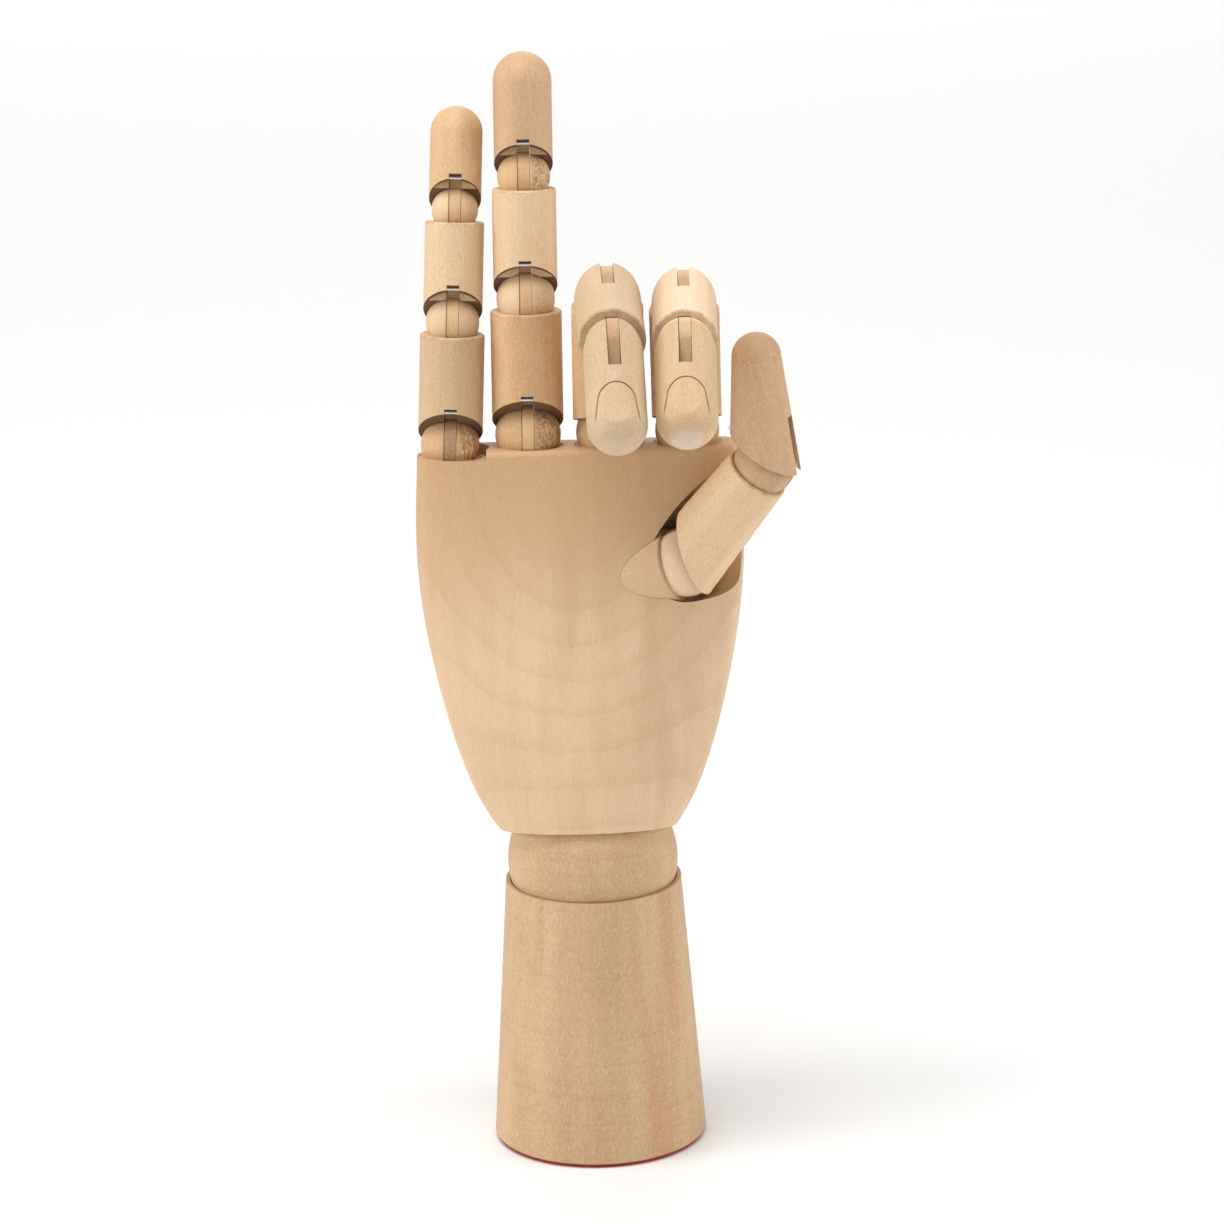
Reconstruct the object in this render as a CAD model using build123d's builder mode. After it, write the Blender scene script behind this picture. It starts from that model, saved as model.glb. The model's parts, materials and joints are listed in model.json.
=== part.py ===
from build123d import *
from math import cos, pi, radians, sin, sqrt
import os

os.makedirs("parts", exist_ok=True)

# A jointed wooden hand on a round stand. Millimetres, +Z up, the origin at the middle of the underside.
# The palm looks toward -Y and the thumb is on the +X side. The hand's own frame has its origin at the
# wrist ball's centre and leans back a little. In a finger's frame z runs toward the tip, y toward the
# back of the finger and x across it, and the origin is on the knuckle's pin.

# fingers, side by side
finger_count = 4
finger_radius = 9.6
finger_gap = 2.6
palm_side_wall = 1.9

# stand
stand_height = 74.5
stand_foot_radius = 29.1
stand_top_radius = 24.0
stand_foot_chamfer = 0.5
felt_thickness = 1.0
felt_inset = 0.4

# wrist
ball_radius = 23.2
ball_height = 80.0
dish_gap = 0.3
ball_waist_radius = 5.6
ball_mouth_radius = 9.0
hand_lean = 6

# anchor of the wrist spring
bolt_radius = 2.0
bolt_play = 0.08
bolt_foot = 7.0
nut_across_flats = 7.0
nut_thickness = 3.2
washer_radius = 6.0
washer_thickness = 1.0
counterbore_radius = 8.0
counterbore_depth = 12.0
chamber_radius = 6.5
chamber_floor = 44.0
eye_radius = 3.6
eye_wire_radius = 1.1

# wrist spring, close wound, with a loop at each end
spring_radius = 3.3
spring_wire_radius = 0.7
loop_radius = 2.6
cross_pin_radius = 1.5
cross_pin_length = 34.0
cross_pin_height = 27.0

# palm
palm_length = 114.1
palm_half_width = finger_count * finger_radius + (finger_count - 1) * finger_gap / 2 + palm_side_wall
palm_middle = -1.0
palm_front = 22.0
palm_back = 23.6
palm_edge_radius = 1.6
heel_height = 8.9
heel_tilt = 6
palm_chamber_radius = 7.0
palm_chamber_top = 33.0
outline_points = 16

# knuckles, the same in every joint
shoulder_drop = 3.2
rim_chamfer = 0.35
ball_inset = 0.75
socket_gap = 0.25
arch_rise = 1.2
dorsal_drop = 2.2
slot_width = 3.4
tongue_play = 0.1
slot_show = 1.2
slot_slant = 2.0
pin_radius = 0.6
pin_length = 10.5
pin_play = 0.06
key_inset = 1.9
key_rise = 0.2
key_length = 6.6
shank_front = 2.6
shank_back = 2.4
shank_angle = radians(20)
bend_limit = 85
relief_gap = 0.3
nail_line = 0.45
nail_depth = 0.4

# fingers
finger_length = 42.5
plug_depth = 12.0
plug_wall = 0.5
pinky_seat_drop = 2.3
pinky_seat_radius = 10.6
pinky_seat_mouth = 9.8

# thumb
thumb_radius = 10.6
thumb_ball_inset = 1.1
thumb_neck_radius = 8.8
thumb_neck_inset = 0.5
thumb_length = 38.0
thumb_tip_length = 37.0
thumb_tip_foot_radius = 9.7
thumb_tip_radius = 6.6
thumb_inset = 16.9
thumb_y = -8.5
thumb_drop = 31.5
thumb_plug_depth = 24.0
thumb_plug_play = 0.08
thumb_plug_relief = 0.3
pocket_radius = 11.2
trough_radius = 11.1
fan_radius = 10.9

# cuts run past the wood by this much
overrun = 8.0

# Palm sections from heel to knuckles: height, half width, front, back as shares of the palm's sizes, then
# the outline's squareness and the hollow of the palm as a share of the front.
palm_section_shares = (
    (0.040, 0.462, 1.000, 1.000, 2.0, 0.00),
    (0.175, 0.692, 0.945, 0.932, 2.2, 0.00),
    (0.370, 0.855, 0.832, 0.797, 2.6, 0.10),
    (0.600, 0.970, 0.690, 0.644, 3.2, 0.16),
    (0.805, 1.000, 0.555, 0.517, 4.0, 0.10),
    (1.000, 0.977, 0.455, 0.424, 5.0, 0.00),
)

# Each finger: place across the palm as a share of its half width, then splay and turn of the plug.
finger_place_shares = {"pinky": -0.796, "ring": -0.319, "middle": 0.174, "index": 0.652}
finger_splay = {"pinky": 3.0, "ring": 0.8, "middle": 0, "index": 0}
finger_turn = {"pinky": 0, "ring": 0, "middle": 1.5, "index": -1}
finger_bends = {
    "pinky": (1, -5, -4),
    "ring": (2, -3, -2),
    "middle": (23.5, 79.5, 31),
    "index": (22.5, 80, 29),
}
finger_length_shares = {
    "pinky": (0.788, 0.711, 0.652),
    "ring": (0.871, 0.774, 0.784),
    "middle": (1.000, 0.847, 0.800),
    "index": (0.953, 0.812, 0.776),
}
finger_radius_shares = {
    "pinky": (0.906, 0.828, 0.729),
    "ring": (1.000, 0.896, 0.818),
    "middle": (1.000, 0.927, 0.823),
    "index": (0.979, 0.901, 0.844),
}
segment_names = ("proximal", "middle", "distal")

# The thumb's plug: swing forward of the palm's plane, rise above level, twist about itself, then bends.
thumb_forward = 22.5
thumb_rise = 15
thumb_twist = 12
thumb_bends = (34, 40)

# The nail: where its arch starts along the fingertip, and half its width there and at the tip, as shares of
# the tip's length and radius. The nail's flat slopes down to the tip.
nail_start_share = 0.52
nail_arch_share = 0.64
nail_spread_share = 0.86
nail_slope = 5


def moved(frame, x=0, y=0, z=0):
    """The frame moved along its own directions."""
    return Plane(frame.location * Pos(x, y, z))


def turned(frame, x=0, y=0, z=0):
    """The frame turned about its own z, then y, then x direction."""
    return Plane(frame.location * Rot(0, 0, z) * Rot(0, y, 0) * Rot(x, 0, 0))


def side_of(frame):
    """The plane across a frame: its sketches have x toward the frame's back and y along its z."""
    return Plane(origin=frame.origin, x_dir=frame.y_dir, z_dir=frame.x_dir)


def up_axis(frame):
    return Axis(frame.origin, frame.z_dir)


def arch_height(radius):
    """Height of the arch above the pin, at the palm side of a segment of this radius."""
    return radius + arch_rise


def slot_end(y, radius):
    """Height at which the slot ends: it slants up toward the back."""
    return arch_height(radius) + slot_show + slot_slant * (y + radius) / (2 * radius)


def key_place(frame, radius):
    """The pin that crosses the slot's mouth, just above the top of the arch."""
    return moved(frame, y=key_inset - radius, z=arch_height(radius) + key_rise)


def save(piece, name):
    piece.part.label = name
    export_step(piece.part, f"parts/{name}.step")


hand = Plane(Location((0, 0, ball_height)) * Rot(-hand_lean, 0, 0))


# stand, with a dish for the ball, a chamber for the spring and a counterbored hole for the eye bolt
def make_stand():
    with BuildPart() as stand:
        with BuildSketch(Plane.XZ):
            with BuildLine():
                Polyline(
                    (0, felt_thickness),
                    (stand_foot_radius - stand_foot_chamfer, felt_thickness),
                    (stand_foot_radius, felt_thickness + stand_foot_chamfer),
                    (stand_top_radius, stand_height),
                    (0, stand_height),
                    close=True,
                )
            make_face()
        revolve(axis=Axis.Z)
        with Locations((0, 0, ball_height)):
            Sphere(ball_radius + dish_gap, mode=Mode.SUBTRACT)
        with BuildSketch(Plane.XY.offset(chamber_floor)):
            Circle(chamber_radius)
        extrude(amount=stand_height - chamber_floor, mode=Mode.SUBTRACT)
        with BuildSketch(Plane.XY.offset(felt_thickness)):
            Circle(counterbore_radius)
        extrude(amount=counterbore_depth, mode=Mode.SUBTRACT)
        with BuildSketch(Plane.XY):
            Circle(bolt_radius + bolt_play)
        extrude(amount=stand_height, mode=Mode.SUBTRACT)
    save(stand, "base_stand")


def make_felt():
    with BuildPart() as felt:
        with BuildSketch(Plane.XY):
            Circle(stand_foot_radius - stand_foot_chamfer - felt_inset)
        extrude(amount=felt_thickness)
    save(felt, "felt_pad")


# eye bolt, washer and nut
washer_bottom = felt_thickness + counterbore_depth - washer_thickness
eye_height = chamber_floor + eye_wire_radius + eye_radius
nut_bottom = washer_bottom - nut_thickness


def make_eye_bolt():
    with BuildPart() as bolt:
        with BuildSketch(Plane.XY.offset(bolt_foot)):
            Circle(bolt_radius)
        extrude(amount=eye_height - eye_radius - bolt_foot)
        with Locations(Plane(origin=(0, 0, eye_height), x_dir=(1, 0, 0), z_dir=(0, 1, 0))):
            Torus(eye_radius, eye_wire_radius)
    save(bolt, "eye_bolt")
    with BuildPart() as washer:
        with BuildSketch(Plane.XY.offset(washer_bottom)):
            Circle(washer_radius)
            Circle(bolt_radius, mode=Mode.SUBTRACT)
        extrude(amount=washer_thickness)
    save(washer, "eye_bolt_washer")
    with BuildPart() as nut:
        with BuildSketch(Plane.XY.offset(nut_bottom)):
            RegularPolygon(nut_across_flats / 2, 6, major_radius=False)
            Circle(bolt_radius, mode=Mode.SUBTRACT)
        extrude(amount=nut_thickness)
    save(nut, "eye_bolt_nut")


# wrist ball, bored through with a waist, so that the spring can lean either way
def make_ball():
    mouth_height = sqrt(ball_radius**2 - ball_mouth_radius**2)
    with BuildPart() as ball:
        with BuildSketch(side_of(hand)):
            with BuildLine():
                Line((ball_mouth_radius, mouth_height), (ball_waist_radius, 0))
                Line((ball_waist_radius, 0), (ball_mouth_radius, -mouth_height))
                ThreePointArc(
                    (ball_mouth_radius, -mouth_height),
                    (ball_radius, 0),
                    (ball_mouth_radius, mouth_height),
                )
            make_face()
        revolve(axis=up_axis(hand))
    save(ball, "wrist_ball")


# wrist spring from the eye bolt to the palm's cross pin
def make_spring():
    low_loop = Plane(
        origin=(0, 0, eye_height + eye_radius - eye_wire_radius - spring_wire_radius + loop_radius),
        x_dir=(0, 1, 0),
        z_dir=(1, 0, 0),
    )
    loop_height = cross_pin_height + cross_pin_radius + spring_wire_radius - loop_radius
    high_loop = side_of(moved(hand, z=loop_height))
    low_end = low_loop.origin + Vector(0, 0, loop_radius)
    high_end = moved(hand, z=loop_height - loop_radius).origin
    coil = Plane(origin=low_end, z_dir=high_end - low_end)
    with BuildPart() as spring:
        with Locations(low_loop, high_loop):
            Torus(loop_radius, spring_wire_radius)
        with BuildSketch(coil):
            Circle(spring_radius)
            Circle(spring_radius - 2 * spring_wire_radius, mode=Mode.SUBTRACT)
        extrude(amount=(high_end - low_end).length)
    save(spring, "wrist_spring")


def make_cross_pin():
    with BuildPart() as pin:
        with BuildSketch(side_of(moved(hand, z=cross_pin_height))):
            Circle(cross_pin_radius)
        extrude(amount=cross_pin_length / 2, both=True)
    save(pin, "spring_cross_pin")


# frames of the knuckles
def seat_height(finger):
    return palm_length - (pinky_seat_drop if finger == "pinky" else 0)


def plug_frame(finger):
    """The knuckle at the palm, straight."""
    x = finger_place_shares[finger] * palm_half_width
    place = moved(hand, x=x, z=seat_height(finger) + shoulder_drop)
    return turned(turned(place, y=finger_splay[finger]), z=finger_turn[finger])


def thumb_plug_frame():
    """The thumb's knuckle in the palm, straight: z runs out along the plug, x toward the viewer."""
    place = moved(hand, x=palm_half_width - thumb_inset, y=thumb_y, z=palm_length - thumb_drop)
    forward = turned(place, z=-thumb_forward)
    out = turned(forward, y=90 - thumb_rise)
    return turned(out, z=thumb_twist - 90)


def segment_radius(finger, index):
    return finger_radius_shares[finger][index] * finger_radius


def segment_length(finger, index):
    return finger_length_shares[finger][index] * finger_length


def segment_frames(finger):
    """The frames of a finger's three segments as the hand is posed."""
    frames = []
    frame = plug_frame(finger)
    for index, bend in enumerate(finger_bends[finger]):
        frame = turned(frame, x=bend)
        frames.append(frame)
        frame = moved(frame, z=segment_length(finger, index))
    return frames


def thumb_frames():
    first = turned(thumb_plug_frame(), x=thumb_bends[0])
    second = turned(moved(first, z=thumb_length), x=thumb_bends[1])
    return [first, second]


# head and pocket of the lower half of a knuckle
def head_outline(head, ball, foot_radius, foot, rim_radius):
    """Half the section of a dowel with a ball nose, from foot up to the nose."""
    shoulder = head - shoulder_drop
    neck = sqrt(ball**2 - shoulder_drop**2)
    Polyline(
        (0, foot),
        (foot_radius, foot),
        (rim_radius, shoulder - rim_chamfer),
        (rim_radius - rim_chamfer, shoulder),
        (neck, shoulder),
    )
    ThreePointArc((neck, shoulder), (ball * sqrt(0.75), head + ball / 2), (0, head + ball))
    Line((0, head + ball), (0, foot))


def head_cutter(frame, ball):
    """What is cut from a head whose pin is at the frame: the slot for the tongue's disc and the pin's hole."""
    with BuildPart() as cutter:
        with BuildSketch(side_of(frame)):
            Circle(ball + socket_gap)
        extrude(amount=slot_width / 2, both=True)
        with BuildSketch(side_of(frame)):
            Circle(pin_radius)
        extrude(amount=pin_length / 2, both=True)
    return cutter.part


# sloping cut, socket and slot of the upper half of a knuckle
def foot_cutter(frame, radius, ball, below_radius, limit):
    """What is cut from a segment's foot: the sloping cut, the socket, the slot and the key pin's hole."""
    out = radius + overrun
    slope = (arch_height(radius) + dorsal_drop) / (2 * radius)
    middle = (arch_height(radius) - dorsal_drop) / 2
    with BuildPart() as cutter:
        with BuildSketch(side_of(frame)):
            with BuildLine():
                Polyline(
                    (-out, middle + slope * out),
                    (out, middle - slope * out),
                    (out, -out - overrun),
                    (-out, -out - overrun),
                    close=True,
                )
            make_face()
        extrude(amount=out, both=True)
        with Locations(frame):
            Sphere(ball + socket_gap)
        if limit:
            relief = moved(turned(frame, x=-limit), z=-shoulder_drop + socket_gap)
            with BuildSketch(relief):
                Circle(below_radius + relief_gap)
            extrude(amount=-out)
        with BuildSketch(side_of(frame)):
            with BuildLine():
                Polyline(
                    (-out, slot_end(-out, radius)),
                    (out, slot_end(out, radius)),
                    (out, -out),
                    (-out, -out),
                    close=True,
                )
            make_face()
        extrude(amount=slot_width / 2, both=True)
        with BuildSketch(side_of(key_place(frame, radius))):
            Circle(pin_radius)
        extrude(amount=key_length / 2, both=True)
    return cutter.part


def make_jointed_segment(name, frame, length, radius, ball, rim_radius, next_ball, below_radius, limit):
    """A segment with the upper half of one knuckle at its foot and the lower half of the next at its head."""
    foot_cut = foot_cutter(frame, radius, ball, below_radius, limit)
    head_cut = head_cutter(moved(frame, z=length), next_ball)
    with BuildPart() as segment:
        with BuildSketch(side_of(frame)):
            with BuildLine():
                head_outline(length, next_ball, radius, -shoulder_drop, rim_radius)
            make_face()
        revolve(axis=up_axis(frame))
        add(foot_cut, mode=Mode.SUBTRACT)
        add(head_cut, mode=Mode.SUBTRACT)
    save(segment, name)


def nail_groove(frame, length, radius):
    """A fine groove round the nail: an arch with legs that spread toward the tip, no deeper than nail_depth."""
    arch = nail_arch_share * radius
    spread = nail_spread_share * radius
    start = nail_start_share * length
    spring = start + arch
    with BuildPart() as groove:
        with BuildSketch(Plane(origin=frame.origin, x_dir=frame.x_dir, z_dir=-frame.y_dir)):
            with BuildLine():
                Line((-spread, length), (-arch, spring))
                ThreePointArc((-arch, spring), (0, start), (arch, spring))
                Line((arch, spring), (spread, length))
                Line((spread, length), (spread - nail_line, length))
                Line((spread - nail_line, length), (arch - nail_line, spring))
                ThreePointArc((arch - nail_line, spring), (0, start + nail_line), (nail_line - arch, spring))
                Line((nail_line - arch, spring), (nail_line - spread, length))
                Line((nail_line - spread, length), (-spread, length))
            make_face()
        extrude(amount=-radius - overrun)
        with BuildSketch(frame):
            Circle(radius - nail_depth)
        extrude(amount=length, mode=Mode.SUBTRACT)
    return groove.part


def make_tip_segment(name, frame, length, radius, ball, tip_radius, below_radius, limit):
    """A fingertip: a dowel with a round end, flattened toward the tip where the nail is."""
    foot_cut = foot_cutter(frame, radius, ball, below_radius, limit)
    groove = nail_groove(frame, length, radius)
    nail = turned(moved(frame, y=radius, z=nail_start_share * length), x=nail_slope)
    with BuildPart() as segment:
        with BuildSketch(side_of(frame)):
            with BuildLine():
                Polyline(
                    (0, length),
                    (0, -shoulder_drop),
                    (radius, -shoulder_drop),
                    (tip_radius, length - tip_radius),
                )
                middle = tip_radius * sqrt(0.5)
                ThreePointArc(
                    (tip_radius, length - tip_radius),
                    (middle, length - tip_radius + middle),
                    (0, length),
                )
            make_face()
        revolve(axis=up_axis(frame))
        add(foot_cut, mode=Mode.SUBTRACT)
        add(groove, mode=Mode.SUBTRACT)
        split(bisect_by=Plane(origin=nail.origin, z_dir=nail.y_dir), keep=Keep.BOTTOM)
    save(segment, name)


def make_plug(name, frame, ball, radius, depth):
    """A dowel plug whose ball nose stands out of the palm."""
    head_cut = head_cutter(frame, ball)
    with BuildPart() as plug:
        with BuildSketch(side_of(frame)):
            with BuildLine():
                head_outline(0, ball, radius, -shoulder_drop - depth, radius)
            make_face()
        revolve(axis=up_axis(frame))
        add(head_cut, mode=Mode.SUBTRACT)
    save(plug, name)


def make_tongue(name, frame, radius, ball):
    """The flat link of a knuckle: a disc on the pin and a shank glued in the slot of the upper segment."""
    front = -shank_front
    with BuildPart() as tongue:
        with BuildSketch(side_of(frame)):
            Circle(ball)
            with BuildLine():
                Polyline(
                    (front, 0),
                    (front, slot_end(front, radius)),
                    (shank_back, slot_end(shank_back, radius)),
                    (ball * cos(shank_angle), ball * sin(shank_angle)),
                    (0, 0),
                    close=True,
                )
            make_face()
            Circle(pin_radius + pin_play, mode=Mode.SUBTRACT)
        extrude(amount=slot_width / 2 - tongue_play, both=True)
    save(tongue, name)


def make_pins(name, knuckles, keys=()):
    """Steel pins: a long one across each knuckle at its frame, and short ones at the places of the keys."""
    with BuildPart() as pins:
        for places, length in ((knuckles, pin_length), (keys, key_length)):
            for place in places:
                with BuildSketch(side_of(place)):
                    Circle(pin_radius)
                extrude(amount=length / 2, both=True)
    save(pins, name)


# palm
def section_points(half_width, front, back, squareness, hollow):
    points = []
    for index in range(outline_points):
        angle = 2 * pi * index / outline_points
        across = abs(cos(angle)) ** (2 / squareness) * (1 if cos(angle) > 0 else -1)
        depth = abs(sin(angle)) ** (2 / squareness)
        y = back * depth
        if sin(angle) < 0:
            y = -front * depth * (1 - hollow * (1 - across**2) ** 2)
        points.append((palm_middle + half_width * across, y))
    return points


def palm_blank():
    """The palm before it is bored: sections from heel to knuckles, then the sloping heel."""
    with BuildPart() as blank:
        for height, width, front, back, squareness, hollow in palm_section_shares:
            points = section_points(
                width * palm_half_width, front * palm_front, back * palm_back, squareness, hollow
            )
            with BuildSketch(moved(hand, z=height * palm_length)):
                with BuildLine():
                    Spline(*points, periodic=True)
                make_face()
        loft()
        fillet(blank.faces().sort_by(up_axis(hand))[-1].edges(), palm_edge_radius)
        split(bisect_by=turned(moved(hand, z=heel_height), x=-heel_tilt), keep=Keep.TOP)
    return blank.part


def finger_bores():
    """The bores of the four finger plugs, and the little finger's lower seat, which is open to the front."""
    with BuildPart() as cutter:
        for finger in finger_place_shares:
            radius = segment_radius(finger, 0)
            with BuildSketch(moved(plug_frame(finger), z=-shoulder_drop)):
                Circle(radius - ball_inset + plug_wall)
            extrude(amount=-plug_depth)
            with BuildSketch(moved(plug_frame(finger), z=-shoulder_drop)):
                Circle(radius - ball_inset + plug_wall)
            extrude(amount=overrun)
        with BuildSketch(moved(plug_frame("pinky"), z=-shoulder_drop)):
            Circle(pinky_seat_radius)
            Rectangle(2 * pinky_seat_mouth, palm_front, align=(Align.CENTER, Align.MAX))
        extrude(amount=overrun)
    return cutter.part


thumb_plug_radius = thumb_radius - thumb_ball_inset + plug_wall


def make_palm():
    """The palm with its dish, bores, spring chamber and the thumb's pocket: a trough along the plug and a fan
    from there up to the thumb's posed direction."""
    blank = palm_blank()
    bores = finger_bores()
    thumb = thumb_plug_frame()
    reach = palm_half_width
    bend = radians(thumb_bends[0])
    with BuildPart() as palm:
        add(blank)
        with Locations(hand):
            Sphere(ball_radius + dish_gap, mode=Mode.SUBTRACT)
        with BuildSketch(hand):
            Circle(palm_chamber_radius)
        extrude(amount=palm_chamber_top, mode=Mode.SUBTRACT)
        with BuildSketch(side_of(moved(hand, z=cross_pin_height))):
            Circle(cross_pin_radius)
        extrude(amount=cross_pin_length / 2, both=True, mode=Mode.SUBTRACT)
        add(bores, mode=Mode.SUBTRACT)
        with BuildSketch(moved(thumb, z=-shoulder_drop)):
            Circle(thumb_plug_radius + thumb_plug_play)
        extrude(amount=-thumb_plug_depth - thumb_plug_relief, mode=Mode.SUBTRACT)
        with Locations(thumb):
            Sphere(pocket_radius, mode=Mode.SUBTRACT)
        with BuildSketch(side_of(thumb)):
            with BuildLine():
                Polyline((0, 0), (0, reach), (-reach * sin(bend), reach * cos(bend)), close=True)
            make_face()
        extrude(amount=fan_radius, both=True, mode=Mode.SUBTRACT)
        with BuildSketch(thumb, turned(thumb, x=thumb_bends[0])):
            Circle(trough_radius)
        extrude(amount=reach, mode=Mode.SUBTRACT)
    save(palm, "palm")


def make_finger(finger):
    frames = segment_frames(finger)
    base = plug_frame(finger)
    radii = [segment_radius(finger, index) for index in range(3)]
    balls = [radius - ball_inset for radius in radii]
    lengths = [segment_length(finger, index) for index in range(3)]
    make_plug(f"plug_{finger}", base, balls[0], balls[0] + plug_wall, plug_depth)
    for index, segment in enumerate(segment_names):
        name = f"{finger}_{segment}"
        frame = frames[index]
        length = lengths[index]
        radius = radii[index]
        ball = balls[index]
        below = radii[index - 1] if index else radii[0]
        limit = bend_limit if index else 0
        knuckles = []
        if index < 2:
            make_jointed_segment(name, frame, length, radius, ball, radius, balls[index + 1], below, limit)
            knuckles.append(moved(frame, z=length))
        else:
            make_tip_segment(name, frame, length, radius, ball, radius, below, limit)
        make_tongue(f"{name}_tongue", frame, radius, ball)
        make_pins(f"{name}_pins", knuckles, [key_place(frame, radius)])


def make_thumb():
    base = thumb_plug_frame()
    first, second = thumb_frames()
    first_ball = thumb_radius - thumb_ball_inset
    second_ball = thumb_neck_radius - thumb_neck_inset
    make_plug("plug_thumb", base, first_ball, thumb_plug_radius, thumb_plug_depth)
    make_pins("plug_thumb_pin", [base])
    make_jointed_segment(
        "thumb_proximal",
        first,
        thumb_length,
        thumb_radius,
        first_ball,
        thumb_neck_radius,
        second_ball,
        thumb_plug_radius,
        0,
    )
    make_tongue("thumb_proximal_tongue", first, thumb_radius, first_ball)
    make_pins("thumb_proximal_pins", [moved(first, z=thumb_length)], [key_place(first, thumb_radius)])
    make_tip_segment(
        "thumb_distal",
        second,
        thumb_tip_length,
        thumb_tip_foot_radius,
        second_ball,
        thumb_tip_radius,
        thumb_neck_radius,
        bend_limit,
    )
    make_tongue("thumb_distal_tongue", second, thumb_tip_foot_radius, second_ball)
    make_pins("thumb_distal_pin", [], [key_place(second, thumb_tip_foot_radius)])


make_stand()
make_felt()
make_eye_bolt()
make_ball()
make_spring()
make_cross_pin()
make_palm()
make_pins("palm_knuckle_pins", [plug_frame(finger) for finger in finger_place_shares])
for finger in finger_place_shares:
    make_finger(finger)
make_thumb()
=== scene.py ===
"""Finish and stage for a jointed wooden hand on a round stand. Lengths are in metres."""

import json
from math import atan2, cos, hypot, pi, radians, sin

import bmesh
import bpy
from mathutils import Matrix, Vector


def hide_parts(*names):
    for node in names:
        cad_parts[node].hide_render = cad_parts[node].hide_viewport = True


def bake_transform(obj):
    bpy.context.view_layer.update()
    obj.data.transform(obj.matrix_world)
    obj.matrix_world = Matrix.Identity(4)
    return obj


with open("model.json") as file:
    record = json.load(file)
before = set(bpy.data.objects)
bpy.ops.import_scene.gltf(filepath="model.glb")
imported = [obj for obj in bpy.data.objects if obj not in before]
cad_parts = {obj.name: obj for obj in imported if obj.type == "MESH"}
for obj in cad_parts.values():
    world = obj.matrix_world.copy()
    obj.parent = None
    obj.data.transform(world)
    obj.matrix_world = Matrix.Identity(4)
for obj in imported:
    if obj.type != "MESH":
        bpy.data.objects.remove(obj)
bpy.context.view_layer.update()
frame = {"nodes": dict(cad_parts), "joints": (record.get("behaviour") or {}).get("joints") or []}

bl_info = {
    "name": "Jointed Wooden Hand",
    "version": (1, 0, 0),
    "blender": (4, 5, 0),
    "location": "View3D > Sidebar > Wooden Hand",
    "description": "Finishes a jointed wooden hand and sets up its stage",
    "category": "Object",
}

FINGERS = ("pinky", "ring", "middle", "index")
SEGMENTS = ("proximal", "middle", "distal")
FLOOR_RADIUS = 6

# The camera's sensor, in millimetres
SENSOR_WIDTH = 36

# How far the hand leans back, and how far the shoulder of a ball head lies below the ball's centre
LEAN = radians(-6)
SHOULDER_DROP = 0.0032

# Deeper than the finger plugs reach, so that all their wood counts as head
PLUG_DEPTH = 0.05

# The painted shade in the gap along a tongue's left edge: its distance from the tongue's middle, and the
# width over which it darkens
TONGUE_SHADE_EDGE = 0.0013
TONGUE_SHADE_FADE = 0.0003

# The wrist spring, wound from the ball's centre out to the loops that hang on the eye bolt and the pin
COIL_RADIUS = 0.0026
COIL_TURNS = 15
COIL_STEP = radians(22.5)
WIRE_RADIUS = 0.0007
WIRE_BEND = 0.00075
LOOP_GAP = 0.001
LOOP_ANGLE = radians(240)
EYE_DEPTH = 0.0288
PIN_HEIGHT = 0.0285

# The palm: its growth rings, painted shade that makes it darker and warmer toward its knuckles, and the
# painted shade of a small pit beside the thumb
RING_CENTRE = (-0.003, 0.001, 0.197)
RING_TILT = radians(33)
RING_SPACING = 0.0073
PALM_TOP_SHADE = (0.055, 0.112)
PALM_PIT = (0.0156, -0.0065, 0.1607)
PIT_RADIUS = 0.0011

# The thumb's tip is darker on its front, which is painted shade, and toward its end
THUMB_FRONT_SHADE = (0.002, -0.007)
THUMB_END = 0.009

# How torn the grain is on the right half of each ball head: of the plugs in their row, and of segments
PLUG_TORN = (0.9, 1.0, 0.2, 0.2)
HEAD_TORN = {"ring_middle": 1.0, "ring_proximal": 0.3}
OTHER_TORN = 0.15
TORN_SIZE = 0.001
TORN_SIDE = (0.0019, 0.0036)

# How pale the end of a fingertip is, bare wood with a painted highlight on its lit edge, and how far below
# the end it starts and is full
TIP_PALENESS_AND_HIGHLIGHT = {"index_distal": 0.4, "middle_distal": 0.15}
TIP_FADE = (0.0018, 0.0004)

# How far below the shoulder the worn rim starts and is full
RIM_FADE = (0.0008, 0.0002)

PORE_SIZE = 0.0005
LATHE_LINE = 0.0006

# Softness of the line between two tones of wood
TONE_EDGE = 0.0001

# Distance between the rings of Blender's wave texture at a scale of 1
WAVE_PERIOD = 2 * pi / 20

# Wood tones: light and dark colour of the grain, linear
TONES = {
    "sand": ((0.780, 0.580, 0.385), (0.650, 0.450, 0.275)),
    "ivory": ((0.840, 0.630, 0.445), (0.730, 0.520, 0.340)),
    "cream": ((0.810, 0.600, 0.385), (0.680, 0.475, 0.280)),
    "wheat": ((0.640, 0.480, 0.315), (0.530, 0.378, 0.230)),
    "amber": ((0.755, 0.515, 0.290), (0.610, 0.388, 0.195)),
    "honey": ((0.690, 0.450, 0.245), (0.540, 0.322, 0.155)),
    "straw": ((0.700, 0.505, 0.310), (0.560, 0.385, 0.220)),
    "rose": ((0.660, 0.440, 0.270), (0.510, 0.315, 0.175)),
    "umber": ((0.540, 0.345, 0.215), (0.390, 0.230, 0.130)),
    # shade: the colour of painted shade under the arches, in the gaps beside the tongues and in pits
    "shade": ((0.150, 0.072, 0.034), (0.105, 0.048, 0.021)),
    "turned": ((0.660, 0.455, 0.270), (0.520, 0.335, 0.182)),
}

# Colour of the pale bare wood and painted highlight at the end of a fingertip
PALE_TIP_AND_HIGHLIGHT = (0.78, 0.72, 0.66)

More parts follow.
